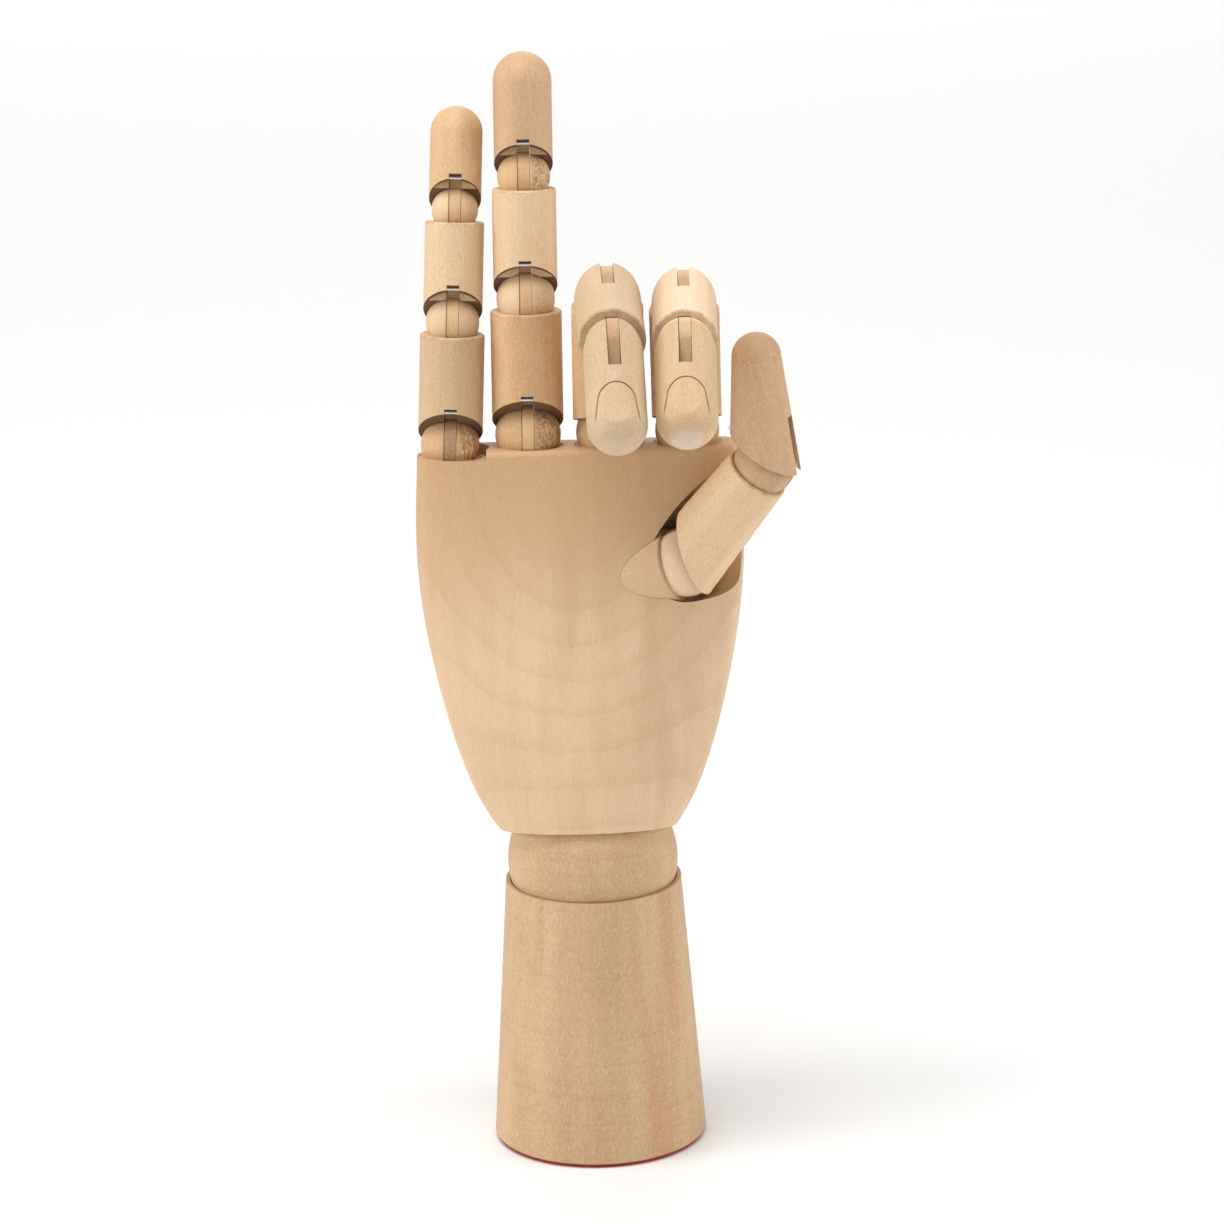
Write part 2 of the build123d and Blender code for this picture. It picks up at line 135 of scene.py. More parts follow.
# The tone of each wooden piece, of its ball head and of the tongue at its foot
PIECE_TONES = {
    "pinky_proximal": ("straw", "cream", "umber"),
    "pinky_middle": ("cream", "cream", "amber"),
    "pinky_distal": ("amber", "amber", "honey"),
    "ring_proximal": ("honey", "cream", "amber"),
    "ring_middle": ("cream", "amber", "amber"),
    "ring_distal": ("rose", "rose", "honey"),
    "middle_proximal": ("honey", "honey", "honey"),
    "middle_middle": ("wheat", "wheat", "straw"),
    "middle_distal": ("wheat", "wheat", "rose"),
    "index_proximal": ("honey", "honey", "honey"),
    "index_middle": ("ivory", "ivory", "straw"),
    "index_distal": ("straw", "straw", "straw"),
    "thumb_proximal": ("cream", "rose", "honey"),
    "thumb_distal": ("rose", "rose", "rose"),
}


def joint_into(body):
    """The joint whose child is this body."""
    for joint in frame["joints"]:
        if joint["child"] == body:
            return joint
    raise RuntimeError(f"no joint leads to {body}")


def pivot(body):
    return Vector(joint_into(body)["pos_m"])


def across(body):
    """The direction across a segment, toward the viewer's right on a straight finger."""
    joint = joint_into(body)
    sign = -1 if joint["name"].endswith("joint") else 1
    if body.startswith("thumb"):
        sign = -sign
    return Vector(joint["axis"]).normalized() * sign


def tip_of(body):
    """The point of a segment that lies farthest from its pivot."""
    start = pivot(body)
    return max((v.co for v in frame["nodes"][body].data.vertices), key=lambda p: (p - start).length)


def make_place(origin, x, z):
    """A piece's own frame: x across it, y toward its back and z along the wood."""
    z = z.normalized()
    y = z.cross(x).normalized()
    x = y.cross(z)
    matrix = Matrix((x, y, z)).transposed().to_4x4()
    matrix.translation = origin
    return matrix


def segment_places():
    """Each segment's own frame and length."""
    places = {}
    chains = {finger: SEGMENTS for finger in FINGERS}
    chains["thumb"] = ("proximal", "distal")
    for finger, segments in chains.items():
        bodies = [f"{finger}_{segment}" for segment in segments]
        for index, body in enumerate(bodies):
            start = pivot(body)
            end = tip_of(body) if index == len(bodies) - 1 else pivot(bodies[index + 1])
            places[body] = (make_place(start, across(body), end - start), (end - start).length)
    return places


BALL_PLACE = Matrix.Translation(pivot("ball"))
HAND_PLACE = BALL_PLACE @ Matrix.Rotation(LEAN, 4, "X")
PLACES = segment_places()


# settings
class WoodSettings(bpy.types.PropertyGroup):
    fibre_size: bpy.props.FloatProperty(
        name="Fibre size",
        description="Width of the finest fibres of the wood",
        default=0.00042,
        min=0.00005,
        precision=5,
        subtype="DISTANCE",
        unit="LENGTH",
    )
    streak_size: bpy.props.FloatProperty(
        name="Streak size",
        description="Width of the broad streaks along the wood",
        default=0.006,
        min=0.0005,
        precision=4,
        subtype="DISTANCE",
        unit="LENGTH",
    )
    roughness: bpy.props.FloatProperty(
        name="Roughness",
        description="Roughness of the sanded and thinly sealed wood",
        default=0.56,
        min=0,
        max=1,
        subtype="FACTOR",
    )
    grain_depth: bpy.props.FloatProperty(
        name="Grain depth",
        description="Depth of the grain that can be felt on the sanded wood",
        default=0.00004,
        min=0,
        precision=6,
        subtype="DISTANCE",
        unit="LENGTH",
    )
    warm_colour: bpy.props.FloatVectorProperty(
        name="Warm streaks",
        description="Colour of the warmer streaks that run along the wood",
        default=(0.560, 0.305, 0.165),
        min=0,
        max=1,
        size=3,
        subtype="COLOR",
    )


class MetalSettings(bpy.types.PropertyGroup):
    colour: bpy.props.FloatVectorProperty(
        name="Steel",
        description="Colour of the pins, the bolt and the spring",
        default=(0.72, 0.71, 0.69),
        min=0,
        max=1,
        size=3,
        subtype="COLOR",
    )
    roughness: bpy.props.FloatProperty(
        name="Roughness",
        description="Roughness of the drawn wire",
        default=0.3,
        min=0,
        max=1,
        subtype="FACTOR",
    )


class FeltSettings(bpy.types.PropertyGroup):
    colour: bpy.props.FloatVectorProperty(
        name="Felt",
        description="Colour of the felt under the stand",
        default=(0.46, 0.035, 0.03),
        min=0,
        max=1,
        size=3,
        subtype="COLOR",
    )


class StageSettings(bpy.types.PropertyGroup):
    camera_distance: bpy.props.FloatProperty(
        name="Distance",
        description="Distance of the camera in front of the hand",
        default=1.5,
        min=0.3,
        subtype="DISTANCE",
        unit="LENGTH",
    )
    camera_height: bpy.props.FloatProperty(
        name="Height",
        description="Height of the camera above the floor",
        default=0.6,
        subtype="DISTANCE",
        unit="LENGTH",
    )
    aim_height: bpy.props.FloatProperty(
        name="Aim height",
        description="Height of the point on the hand's axis that the camera looks at",
        default=0.1498,
        subtype="DISTANCE",
        unit="LENGTH",
    )
    camera_roll: bpy.props.FloatProperty(
        name="Roll",
        description="Roll of the camera about its own view",
        default=radians(1.7),
        subtype="ANGLE",
        unit="ROTATION",
    )
    focal_length: bpy.props.FloatProperty(
        name="Focal length",
        description="Focal length of the camera in millimetres",
        default=170.6,
        min=20,
    )
    camera_shift: bpy.props.FloatProperty(
        name="Shift",
        description="Sideways shift of the frame, as a part of its width",
        default=0.0215,
    )
    floor_colour: bpy.props.FloatVectorProperty(
        name="Floor",
        description="Colour of the floor",
        default=(0.90, 0.90, 0.90),
        min=0,
        max=1,
        size=3,
        subtype="COLOR",
    )
    key_power: bpy.props.FloatProperty(
        name="Left light",
        description="Power of the large soft light at the left",
        default=34,
        min=0,
        unit="POWER",
    )
    fill_power: bpy.props.FloatProperty(
        name="Right light",
        description="Power of the soft light at the right",
        default=28,
        min=0,
        unit="POWER",
    )
    top_power: bpy.props.FloatProperty(
        name="Top light",
        description="Power of the soft light above the fingertips",
        default=17,
        min=0,
        unit="POWER",
    )
    back_power: bpy.props.FloatProperty(
        name="Back light",
        description="Power of the light over the floor behind the hand",
        default=70,
        min=0,
        unit="POWER",
    )
    sky_strength: bpy.props.FloatProperty(
        name="Room light",
        description="Strength of the even light of the room",
        default=0.3,
        min=0,
    )


# materials
class Shader:
    """A material under construction, with short calls for the nodes that the finishes share."""

    def __init__(self, name):
        self.material = bpy.data.materials.new(name)
        self.material.use_nodes = True
        self.tree = self.material.node_tree
        self.surface = self.tree.nodes["Principled BSDF"]
        source = self.tree.nodes.new("ShaderNodeTexCoord")
        self.coordinates = source.outputs["Object"]
        self.normals = source.outputs["Normal"]

    def node(self, kind, sockets, **options):
        node = self.tree.nodes.new(kind)
        for option, value in options.items():
            setattr(node, option, value)
        for socket, value in sockets.items():
            self.feed(node.inputs[socket], value)
        return node

    def feed(self, socket, value):
        if isinstance(value, bpy.types.NodeSocket):
            self.tree.links.new(value, socket)
        else:
            socket.default_value = value

    def local(self, place, stretch=(1, 1, 1)):
        """Coordinates in a piece's own frame, with the pattern drawn out along its directions."""
        sockets = {
            "Vector": self.coordinates,
            "Location": place.translation,
            "Rotation": place.to_euler("XYZ"),
            "Scale": stretch,
        }
        return self.node("ShaderNodeMapping", sockets, vector_type="TEXTURE").outputs["Vector"]

    def noise(self, vector, size, detail=2.0, roughness=0.5, distortion=0.0):
        sockets = {
            "Vector": vector,
            "Scale": 1 / size,
            "Detail": detail,
            "Roughness": roughness,
            "Distortion": distortion,
        }
        return self.node("ShaderNodeTexNoise", sockets).outputs["Fac"]

    def times(self, first, second):
        return self.node("ShaderNodeMath", {0: first, 1: second}, operation="MULTIPLY").outputs[0]

    def weighted(self, start, *terms):
        """The start plus each value times its weight."""
        total = start
        for value, weight in terms:
            sockets = {0: value, 1: weight, 2: total}
            total = self.node("ShaderNodeMath", sockets, operation="MULTIPLY_ADD").outputs[0]
        return total

    def fade(self, value, low, high, start=0.0, end=1.0):
        """A smooth step from start to end while the value goes from low to high."""
        sockets = {"Value": value, "From Min": low, "From Max": high, "To Min": start, "To Max": end}
        return self.node("ShaderNodeMapRange", sockets, interpolation_type="SMOOTHSTEP").outputs["Result"]

    def blend(self, factor, first, second):
        sockets = {0: factor, 6: first, 7: second}
        return self.node("ShaderNodeMix", sockets, data_type="RGBA").outputs[2]

    def vector(self, operation, sockets, output="Value"):
        return self.node("ShaderNodeVectorMath", sockets, operation=operation).outputs[output]


def rgba(colour):
    return (*colour, 1.0)


class Wood(Shader):
    """Sanded wood whose grain runs along the place's z; each method adds one mark to it.

    The offset shifts the grain, so that no two pieces look alike.
    """

    def __init__(self, name, place, tone, settings, offset):
        super().__init__(name)
        self.place = place
        self.settings = settings
        self.grain = place.copy()
        self.grain.translation = place @ Vector((offset, 2 * offset, 5 * offset))
        self.fibres = self.noise(self.local(self.grain, (1, 1, 9)), settings.fibre_size, 3.0, 0.6)
        streaks = self.noise(self.local(self.grain, (1, 1, 16)), settings.streak_size, 2.0, 0.55, 0.3)
        mottle = self.noise(self.local(self.grain, (1, 1, 2)), 4 * settings.streak_size, 3.0, 0.55)
        self.figure = self.weighted(-0.29, (self.fibres, 0.44), (streaks, 0.55), (mottle, 0.6))
        self.height = self.fibres
        self.colour = self.toned(tone)
        self.rough = self.fade(self.fibres, 0.2, 0.8, settings.roughness + 0.06, settings.roughness - 0.04)

    def toned(self, tone):
        """The figure of the grain in a tone's light and dark colours."""
        light, dark = TONES[tone]
        return self.blend(self.fade(self.figure, 0.15, 0.85), rgba(dark), rgba(light))

    def mark(self, amount, tone):
        """Lays a tone's dark colour over the wood."""
        self.colour = self.blend(amount, self.colour, rgba(TONES[tone][1]))

    def along(self, axis, start, end, amount=1.0):
        """A soft step along an axis of the piece, from nothing at the start to the amount at the end."""
        sockets = self.node("ShaderNodeSeparateXYZ", {0: self.local(self.place)}).outputs
        if start < end:
            return self.fade(sockets[axis], start, end, 0.0, amount)
        return self.fade(sockets[axis], end, start, amount, 0.0)

    def warm_streaks(self, amount):
        bands = self.noise(self.local(self.grain, (1, 1, 22)), 1.7 * self.settings.streak_size, 1.0)
        warm = rgba(self.settings.warm_colour)
        self.colour = self.blend(self.fade(bands, 0.56, 0.74, 0.0, amount), self.colour, warm)

    def growth_rings(self, place, spacing, amount):
        """Arcs where the growth rings about the place's z come to the surface, away from their centre."""
        local = self.local(place)
        sockets = {
            "Vector": local,
            "Scale": WAVE_PERIOD / spacing,
            "Distortion": 2.4,
            "Detail": 2.0,
            "Detail Scale": 0.6,
        }
        options = {"wave_type": "RINGS", "rings_direction": "Z", "wave_profile": "SAW"}
        wave = self.node("ShaderNodeTexWave", sockets, **options).outputs["Fac"]
        flat = self.vector("MULTIPLY", {0: local, 1: (1, 1, 0)}, "Vector")
        reach = self.fade(self.vector("LENGTH", {0: flat}), 1.5 * spacing, 4 * spacing, 0.0, amount)
        self.mark(self.times(self.fade(wave, 0.55, 1.0), reach), "honey")

    def end_grain_and_arch_shade(self, amount, tone):
        """Darkens the wood where it faces the piece's foot: a little for the darker end grain, and mostly as
        painted shade under the socket's arch.
        """
        foot = self.place.to_3x3() @ Vector((0, 0, -1))
        facing = self.vector("DOT_PRODUCT", {0: self.normals, 1: foot})
        self.mark(self.fade(facing, 0.3, 0.7, 0.0, amount), tone)
        self.rough = self.weighted(self.rough, (self.fade(facing, 0.3, 0.7), 0.4))

    def head(self, height, tone, torn):
        """Above this height the piece is a ball head in its own tone, its right half with torn grain; the
        pits of the torn grain carry painted shade and its crests a painted highlight.
        """
        mask = self.along("Z", height - TONE_EDGE, height + TONE_EDGE)
        self.colour = self.blend(mask, self.colour, self.toned(tone))
        ragged = self.noise(self.local(self.grain, (1, 1, 2.2)), TORN_SIZE, 4.0, 0.75, 1.5)
        side = self.times(self.along("X", *TORN_SIDE, torn), mask)
        self.mark(self.times(side, 0.3), "honey")
        pit_shade = self.times(self.fade(ragged, 0.52, 0.57), side)
        crest_highlight = self.times(self.fade(ragged, 0.41, 0.47, 1.0, 0.0), side)
        # Painted shade in the pits and a painted highlight on the crests, standing in for the shading of the
        # torn relief
        self.mark(self.times(pit_shade, 0.5), "shade")
        self.colour = self.blend(self.times(crest_highlight, 0.85), self.colour, rgba(TONES["ivory"][0]))
        self.height = self.weighted(self.height, (pit_shade, -8.0), (crest_highlight, 3.0))

    def worn_rim(self, height, amount):
        """A thin brown line, broken here and there, where the saw left the rim below the ball head."""
        start, full = RIM_FADE
        patches = self.noise(self.local(self.grain), 0.0018, 2.0)
        line = self.along("Z", height - start, height - full)
        self.mark(self.times(line, self.fade(patches, 0.40, 0.60, 0.0, amount)), "umber")

    def pale_tip_and_highlight(self, height, amount):
        """Bare wood, paler than the rest, at the end of a fingertip, with a painted highlight where its edge
        catches the light.
        """
        start, full = TIP_FADE
        end = self.along("Z", height - start, height - full, amount)
        self.colour = self.blend(end, self.colour, rgba(PALE_TIP_AND_HIGHLIGHT))

    def lathe_lines(self, amount):
        """Fine lines round a turned piece."""
        lines = self.noise(self.local(self.grain, (150, 150, 1)), LATHE_LINE, 3.0, 0.7)
        self.mark(self.fade(lines, 0.48, 0.72, 0.0, amount), "umber")
        self.height = self.weighted(self.height, (lines, 0.8))

    def speckle(self, amount):
        """Short pores, and the paler flecks between them."""
        pores = self.noise(self.local(self.grain, (1, 1, 2.2)), PORE_SIZE, 2.0, 0.6)
        self.mark(self.fade(pores, 0.52, 0.70, 0.0, amount), "umber")
        pale = rgba(TONES["ivory"][0])
        self.colour = self.blend(self.fade(pores, 0.30, 0.48, amount, 0.0), self.colour, pale)

    def spot(self, centre, radius, tone):
        """A small dark mark of painted shade round a point on the surface, as in a pit."""
        distance = self.vector("DISTANCE", {0: self.coordinates, 1: centre})
        self.mark(self.fade(distance, 0.4 * radius, radius, 1.0, 0.0), tone)

    def finish(self):
        """Joins the marks to the surface and returns the material."""
        self.feed(self.surface.inputs["Base Color"], self.colour)
        self.feed(self.surface.inputs["Roughness"], self.rough)
        self.surface.inputs["Specular IOR Level"].default_value = 0.25
        sockets = {"Strength": 0.5, "Distance": self.settings.grain_depth, "Height": self.height}
        bump = self.node("ShaderNodeBump", sockets)
        self.feed(self.surface.inputs["Normal"], bump.outputs["Normal"])
        return self.material


def steel(name, settings):
    """Bright drawn wire, faintly brushed along x, as the pins lie."""
    shader = Shader(name)
    inputs = shader.surface.inputs
    scratches = shader.noise(shader.local(Matrix.Identity(4), (30, 1, 1)), 0.0002, 2.0, 0.6)
    dull = rgba([0.86 * channel for channel in settings.colour])
    tint = shader.blend(shader.fade(scratches, 0.3, 0.7), dull, rgba(settings.colour))
    rough = shader.fade(scratches, 0.3, 0.7, settings.roughness + 0.1, settings.roughness - 0.06)
    bump = shader.node("ShaderNodeBump", {"Strength": 0.25, "Distance": 0.00001, "Height": scratches})
    shader.feed(inputs["Base Color"], tint)
    shader.feed(inputs["Roughness"], rough)
    shader.feed(inputs["Normal"], bump.outputs["Normal"])
    inputs["Metallic"].default_value = 1.0
    return shader.material


def felt(name, settings):
    """Pressed felt with a short matted nap."""
    shader = Shader(name)
    inputs = shader.surface.inputs
    place = shader.local(Matrix.Identity(4))
    nap = shader.noise(place, 0.0004, 4.0, 0.7, 0.8)
    lumps = shader.noise(place, 0.003, 2.0)
    mixed = shader.fade(shader.weighted(0.0, (nap, 0.7), (lumps, 0.3)), 0.3, 0.7)
    dark = rgba([0.45 * channel for channel in settings.colour])
    bump = shader.node("ShaderNodeBump", {"Strength": 0.8, "Distance": 0.0002, "Height": nap})
    shader.feed(inputs["Base Color"], shader.blend(mixed, dark, rgba(settings.colour)))
    shader.feed(inputs["Normal"], bump.outputs["Normal"])
    inputs["Roughness"].default_value = 0.95
    inputs["Sheen Weight"].default_value = 0.4
    return shader.material


def dress(node, material):
    """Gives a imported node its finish."""
    piece = frame["nodes"][node]
    piece.data.materials.clear()
    piece.data.materials.append(material)


# operators, one for each piece or group of like pieces
class WOODHAND_OT_palm(bpy.types.Operator):
    """Finish the palm, with the arcs of its growth rings"""

    bl_idname = "woodhand.palm"
    bl_label = "Palm"
    bl_options = {"REGISTER"}

    def execute(self, context):
        material = Wood("palm wood", HAND_PLACE, "sand", context.scene.woodhand_wood, 0.013)
        material.warm_streaks(0.2)
        # Painted shade, darker and warmer toward the knuckles, where the curled fingers shade the palm
        material.mark(material.along("Z", *PALM_TOP_SHADE, 0.75), "honey")
        pith = Matrix.Translation(RING_CENTRE) @ Matrix.Rotation(RING_TILT, 4, "X")
        material.growth_rings(pith, RING_SPACING, 0.17)
        material.speckle(0.12)
        # Painted shade of a small pit beside the thumb
        material.spot(PALM_PIT, PIT_RADIUS, "shade")
        dress("palm", material.finish())
        return {"FINISHED"}


class WOODHAND_OT_fingers(bpy.types.Operator):
    """Finish the four fingers, their ball heads, tongues and plugs"""

    bl_idname = "woodhand.fingers"
    bl_label = "Fingers"
    bl_options = {"REGISTER"}

    def execute(self, context):
        settings = context.scene.woodhand_wood
        for row, finger in enumerate(FINGERS):
            for index, segment in enumerate(SEGMENTS):
                dress_segment(f"{finger}_{segment}", settings, 0.017 * (3 * row + index + 1))
            place = PLACES[f"{finger}_proximal"][0]
            material = Wood(f"{finger} plug wood", place, "honey", settings, 0.011 * (row + 1))
            material.head(-PLUG_DEPTH, "honey", PLUG_TORN[row])
            material.speckle(0.2)
            dress(f"plug_{finger}", material.finish())
        return {"FINISHED"}


def dress_segment(name, settings, offset):
    """Finishes a segment and the tongue at its foot."""
    place, length = PLACES[name]
    tone, head_tone, tongue_tone = PIECE_TONES[name]
    material = Wood(f"{name} wood", place, tone, settings, offset)
    material.warm_streaks(0.3)
    if name == "thumb_distal":
        # Painted shade on the front of the thumb's tip
        material.mark(material.along("Y", *THUMB_FRONT_SHADE, 0.6), "umber")
        material.mark(material.along("Z", length - THUMB_END, length, 0.5), "umber")
    material.speckle(0.24)
    # Painted shade under the socket's arch, with a little darker end grain, where the wood faces the foot
    material.end_grain_and_arch_shade(0.92, "shade")
    if name.endswith("distal"):
        # Pale bare wood and a painted highlight at the fingertip's end
        material.pale_tip_and_highlight(length, TIP_PALENESS_AND_HIGHLIGHT.get(name, 0.0))
    else:
        material.worn_rim(length - SHOULDER_DROP, 0.55)
        material.head(length - SHOULDER_DROP, head_tone, HEAD_TORN.get(name, OTHER_TORN))
    dress(name, material.finish())
    material = Wood(f"{name} tongue wood", place, tongue_tone, settings, offset + 0.007)
    material.speckle(0.2)
    # Painted shade in the gap along the tongue's left edge
    material.mark(material.along("X", -TONGUE_SHADE_EDGE, -TONGUE_SHADE_EDGE - TONGUE_SHADE_FADE, 0.7), "shade")
    dress(f"{name}_tongue", material.finish())


class WOODHAND_OT_thumb(bpy.types.Operator):
    """Finish the thumb, its tongues and its plug"""

    bl_idname = "woodhand.thumb"
    bl_label = "Thumb"
    bl_options = {"REGISTER"}

    def execute(self, context):
        settings = context.scene.woodhand_wood
        dress_segment("thumb_proximal", settings, 0.31)
        dress_segment("thumb_distal", settings, 0.37)
        way_out = Vector(joint_into("thumb_plug")["axis"])
        place = make_place(pivot("thumb_plug"), across("thumb_proximal"), way_out)
        material = Wood("thumb plug wood", place, "sand", settings, 0.29)
        # As dark as the palm's painted shade at this height, so that the plug's shaft matches the palm
        material.mark(0.35, "honey")
        material.head(-SHOULDER_DROP, "ivory", 0.0)
        material.speckle(0.2)
        dress("plug_thumb", material.finish())
        return {"FINISHED"}


class WOODHAND_OT_stand(bpy.types.Operator):
    """Finish the turned stand and the wrist ball"""

    bl_idname = "woodhand.stand"
    bl_label = "Stand and Ball"
    bl_options = {"REGISTER"}

    def execute(self, context):
        settings = context.scene.woodhand_wood
        turned = (("base_stand", Matrix.Identity(4), 0.023, 0.7), ("wrist_ball", HAND_PLACE, 0.041, 0.6))
        for node, place, offset, warmth in turned:
            material = Wood(f"{node} wood", place, "turned", settings, offset)
            material.warm_streaks(warmth)
            material.lathe_lines(0.25)
            material.speckle(0.3)
            dress(node, material.finish())
        return {"FINISHED"}


class WOODHAND_OT_felt(bpy.types.Operator):
    """Finish the felt under the stand"""

    bl_idname = "woodhand.felt"
    bl_label = "Felt"
    bl_options = {"REGISTER"}

    def execute(self, context):
        dress("felt_pad", felt("red felt", context.scene.woodhand_felt))
        return {"FINISHED"}


class WOODHAND_OT_hardware(bpy.types.Operator):
    """Finish the pins and the eye bolt with its washer and nut"""

    bl_idname = "woodhand.hardware"
    bl_label = "Hardware"
    bl_options = {"REGISTER"}

    def execute(self, context):
        metal = steel("drawn steel", context.scene.woodhand_metal)
        bolts = ("eye_bolt", "eye_bolt_washer", "eye_bolt_nut")
        for node in frame["nodes"]:
            if node in bolts or node.endswith(("_pin", "_pins")):
                dress(node, metal)
        return {"FINISHED"}


def edges_of(items):
    return [item for item in items if isinstance(item, bmesh.types.BMEdge)]


def spin(wire, edges, centre, axis, angle, steps, rise=0.0):
    """Spins the wire's open end about an axis, while it rises along z, and returns its new end."""
    turning = {"cent": centre, "axis": axis, "angle": angle, "steps": steps, "dvec": (0, 0, rise / steps)}
    return edges_of(bmesh.ops.spin(wire, geom=edges, **turning)["geom_last"])


def wound_half(name, place, hold):
    """Half of the wrist spring, along the place's z: a coil, a bend and a loop that bears on its hold.

    The coil stops a little before its last quarter turn is reached, so that the loop stands over its middle.
    """
    lead = atan2(WIRE_BEND, COIL_RADIUS)
    turn = (2 * COIL_TURNS + 1.5) * pi - lead
    loop_radius = hypot(COIL_RADIUS, WIRE_BEND)
    loop_height = hold + WIRE_RADIUS - loop_radius
    rise = loop_height - loop_radius - LOOP_GAP
    outward = Vector((cos(turn), sin(turn), 0))
    bend_centre = outward * COIL_RADIUS + Vector((0, 0, rise + WIRE_BEND))

    wire = bmesh.new()
    start = Matrix.Translation((COIL_RADIUS, 0, 0)) @ Matrix.Rotation(radians(90), 4, "X")
    bmesh.ops.create_circle(wire, segments=8, radius=WIRE_RADIUS, matrix=start)
    end = spin(wire, list(wire.edges), (0, 0, 0), (0, 0, 1), turn, round(turn / COIL_STEP), rise)
    end = spin(wire, end, bend_centre, outward, radians(90), 4)
    leg = bmesh.ops.extrude_edge_only(wire, edges=end)["geom"]
    up = Vector((0, 0, loop_height - rise - WIRE_BEND))
    bmesh.ops.translate(wire, verts=[item for item in leg if isinstance(item, bmesh.types.BMVert)], vec=up)
    end = [edge for edge in edges_of(leg) if edge.is_boundary]
    spin(wire, end, (0, 0, loop_height), (-1, 0, 0), LOOP_ANGLE, 16)
    bmesh.ops.holes_fill(wire, edges=[edge for edge in wire.edges if edge.is_boundary])
    bmesh.ops.recalc_face_normals(wire, faces=wire.faces)
    bmesh.ops.transform(wire, matrix=place, verts=wire.verts)
    for face in wire.faces:
        face.smooth = True

    piece = bpy.data.objects.new(name, bpy.data.meshes.new(name))
    wire.to_mesh(piece.data)
    wire.free()
    bpy.context.scene.collection.objects.link(piece)
    return piece


class WOODHAND_OT_spring(bpy.types.Operator):
    """Wind the wrist spring in two halves, from the ball's centre down to the eye bolt and up along the
    hand's lean to the pin
    """

    bl_idname = "woodhand.spring"
    bl_label = "Wrist Spring"
    bl_options = {"REGISTER"}

    def execute(self, context):
        down = BALL_PLACE @ Matrix.Rotation(pi, 4, "X")
        low = wound_half("wrist_spring_lower_half", down, EYE_DEPTH)
        high = wound_half("wrist_spring_upper_half", HAND_PLACE, PIN_HEIGHT)
        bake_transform(low)
        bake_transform(high)
        metal = steel("spring steel", context.scene.woodhand_metal)
        for half in (low, high):
            half.data.materials.append(metal)
            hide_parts("wrist_spring")
        return {"FINISHED"}


def add_light(name, place, target, size, power, colour):
    data = bpy.data.lights.new(name, "AREA")
    data.shape = "DISK"
    data.size = size
    data.energy = power
    data.color = colour
    light = bpy.data.objects.new(name, data)
    bpy.context.scene.collection.objects.link(light)
    way = Vector(target) - Vector(place)
    light.matrix_world = Matrix.Translation(place) @ way.to_track_quat("-Z", "Y").to_matrix().to_4x4()


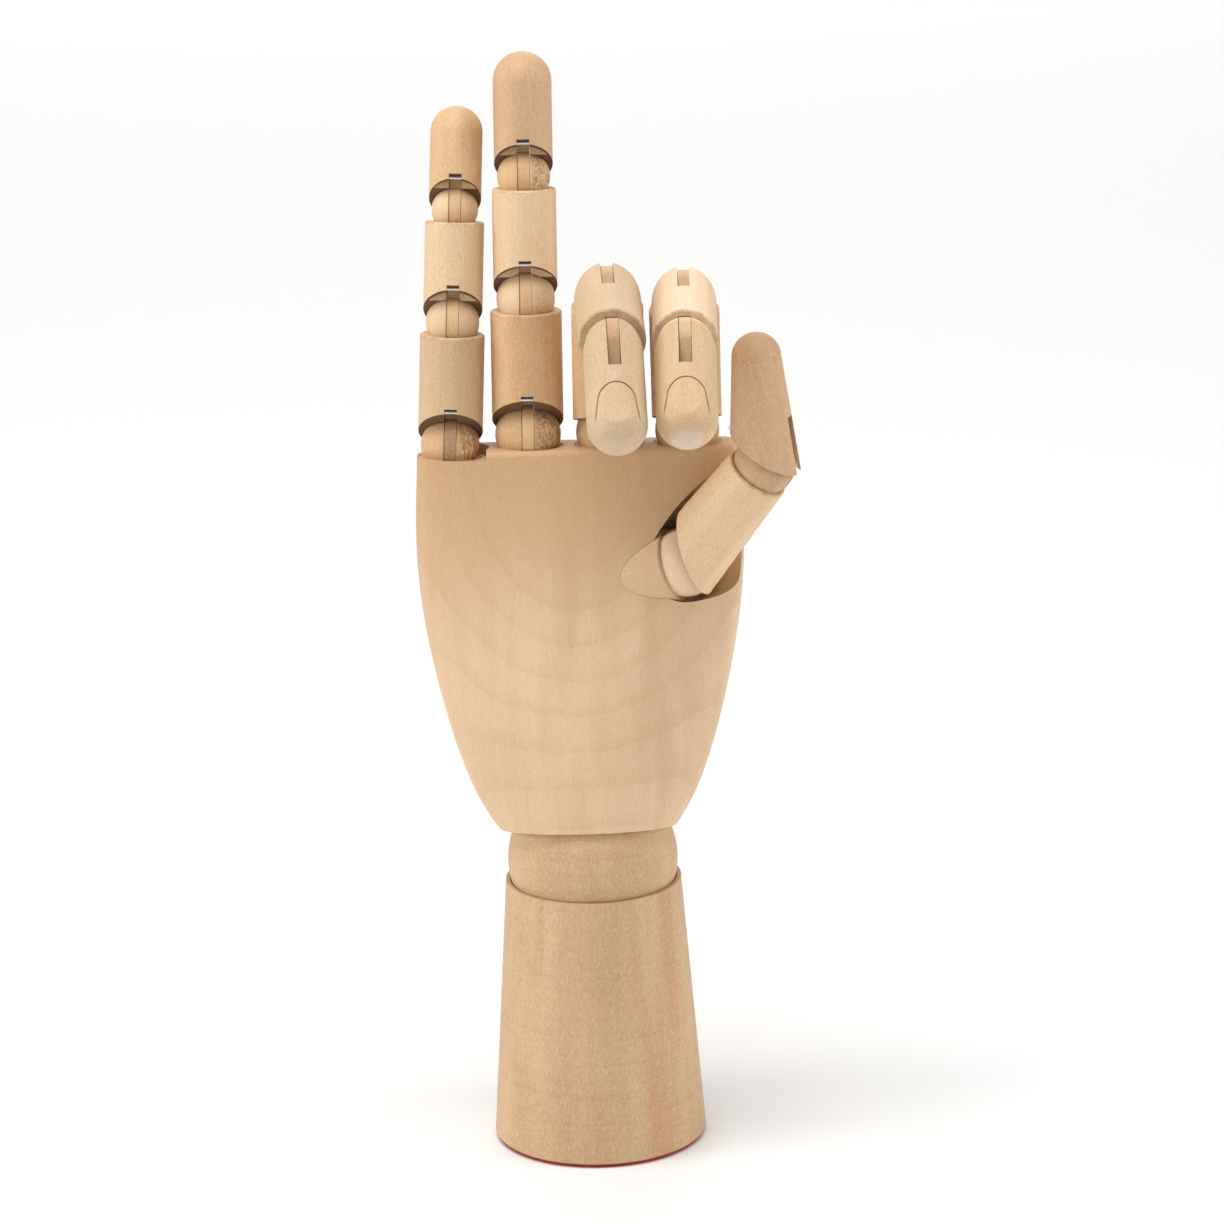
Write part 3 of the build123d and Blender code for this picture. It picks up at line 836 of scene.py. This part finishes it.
class WOODHAND_OT_stage(bpy.types.Operator):
    """Set up the floor, the lights and the camera"""

    bl_idname = "woodhand.stage"
    bl_label = "Stage"
    bl_options = {"REGISTER"}

    def execute(self, context):
        settings = context.scene.woodhand_stage
        self.make_floor(settings)
        self.make_lights(context, settings)
        self.make_camera(context, settings)
        context.scene.view_settings.view_transform = "Standard"
        return {"FINISHED"}

    def make_floor(self, settings):
        disc = {"vertices": 96, "radius": FLOOR_RADIUS, "fill_type": "NGON", "location": (0, 0, 0)}
        bpy.ops.mesh.primitive_circle_add(**disc)
        floor = bpy.context.object
        floor.name = "floor"
        shader = Shader("floor paper")
        shader.surface.inputs["Base Color"].default_value = rgba(settings.floor_colour)
        shader.surface.inputs["Roughness"].default_value = 0.9
        shader.surface.inputs["Specular IOR Level"].default_value = 0.1
        floor.data.materials.append(shader.material)

    def make_lights(self, context, settings):
        aim = (0, 0, settings.aim_height)
        add_light("left light", (-2.5, -0.75, 0.85), aim, 1.6, settings.key_power, (1.0, 0.99, 0.97))
        add_light("right light", (2.5, -0.60, 0.90), aim, 1.6, settings.fill_power, (1.0, 0.99, 0.97))
        add_light("back light", (0, 3.4, 2.0), (0, 3.4, 0), 3.0, settings.back_power, (1.0, 1.0, 1.0))
        add_light("top light", (-0.15, -0.25, 1.6), aim, 1.0, settings.top_power, (1.0, 0.995, 0.98))
        world = bpy.data.worlds.new("room")
        world.use_nodes = True
        background = world.node_tree.nodes["Background"]
        background.inputs["Color"].default_value = (1.0, 1.0, 1.0, 1.0)
        background.inputs["Strength"].default_value = settings.sky_strength
        context.scene.world = world

    def make_camera(self, context, settings):
        data = bpy.data.cameras.new("camera")
        data.lens = settings.focal_length
        data.sensor_width = SENSOR_WIDTH
        data.shift_x = settings.camera_shift
        camera = bpy.data.objects.new("camera", data)
        context.scene.collection.objects.link(camera)
        place = Vector((0, -settings.camera_distance, settings.camera_height))
        view = (Vector((0, 0, settings.aim_height)) - place).normalized()
        side = Vector((1, 0, 0))
        upward = side.cross(view)
        turn = settings.camera_roll
        right = side * cos(turn) - upward * sin(turn)
        top = side * sin(turn) + upward * cos(turn)
        camera.matrix_world = Matrix.Translation(place) @ Matrix((right, top, -view)).transposed().to_4x4()
        context.scene.camera = camera


class WOODHAND_PT_sidebar(bpy.types.Panel):
    """Lists the steps that finish the hand and their settings"""

    bl_idname = "WOODHAND_PT_sidebar"
    bl_label = "Jointed Wooden Hand"
    bl_space_type = "VIEW_3D"
    bl_region_type = "UI"
    bl_category = "Wooden Hand"

    def draw(self, context):
        layout = self.layout
        for group in ("woodhand_wood", "woodhand_metal", "woodhand_felt", "woodhand_stage"):
            box = layout.box()
            settings = getattr(context.scene, group)
            for setting in settings.bl_rna.properties:
                if setting.identifier not in ("rna_type", "name"):
                    box.prop(settings, setting.identifier)
        for operator in OPERATORS:
            layout.operator(operator.bl_idname)


SETTINGS = {
    "woodhand_wood": WoodSettings,
    "woodhand_metal": MetalSettings,
    "woodhand_felt": FeltSettings,
    "woodhand_stage": StageSettings,
}
OPERATORS = (
    WOODHAND_OT_palm,
    WOODHAND_OT_fingers,
    WOODHAND_OT_thumb,
    WOODHAND_OT_stand,
    WOODHAND_OT_felt,
    WOODHAND_OT_hardware,
    WOODHAND_OT_spring,
    WOODHAND_OT_stage,
)


def register():
    for group in SETTINGS.values():
        bpy.utils.register_class(group)
    for operator in OPERATORS:
        bpy.utils.register_class(operator)
    bpy.utils.register_class(WOODHAND_PT_sidebar)
    for name, group in SETTINGS.items():
        setattr(bpy.types.Scene, name, bpy.props.PointerProperty(type=group))


def unregister():
    for name in SETTINGS:
        delattr(bpy.types.Scene, name)
    bpy.utils.unregister_class(WOODHAND_PT_sidebar)
    for operator in reversed(OPERATORS):
        bpy.utils.unregister_class(operator)
    for group in reversed(SETTINGS.values()):
        bpy.utils.unregister_class(group)


def main():
    register()
    bpy.ops.woodhand.palm()
    bpy.ops.woodhand.fingers()
    bpy.ops.woodhand.thumb()
    bpy.ops.woodhand.stand()
    bpy.ops.woodhand.felt()
    bpy.ops.woodhand.hardware()
    bpy.ops.woodhand.spring()
    bpy.ops.woodhand.stage()


if __name__ == "__main__":
    main()
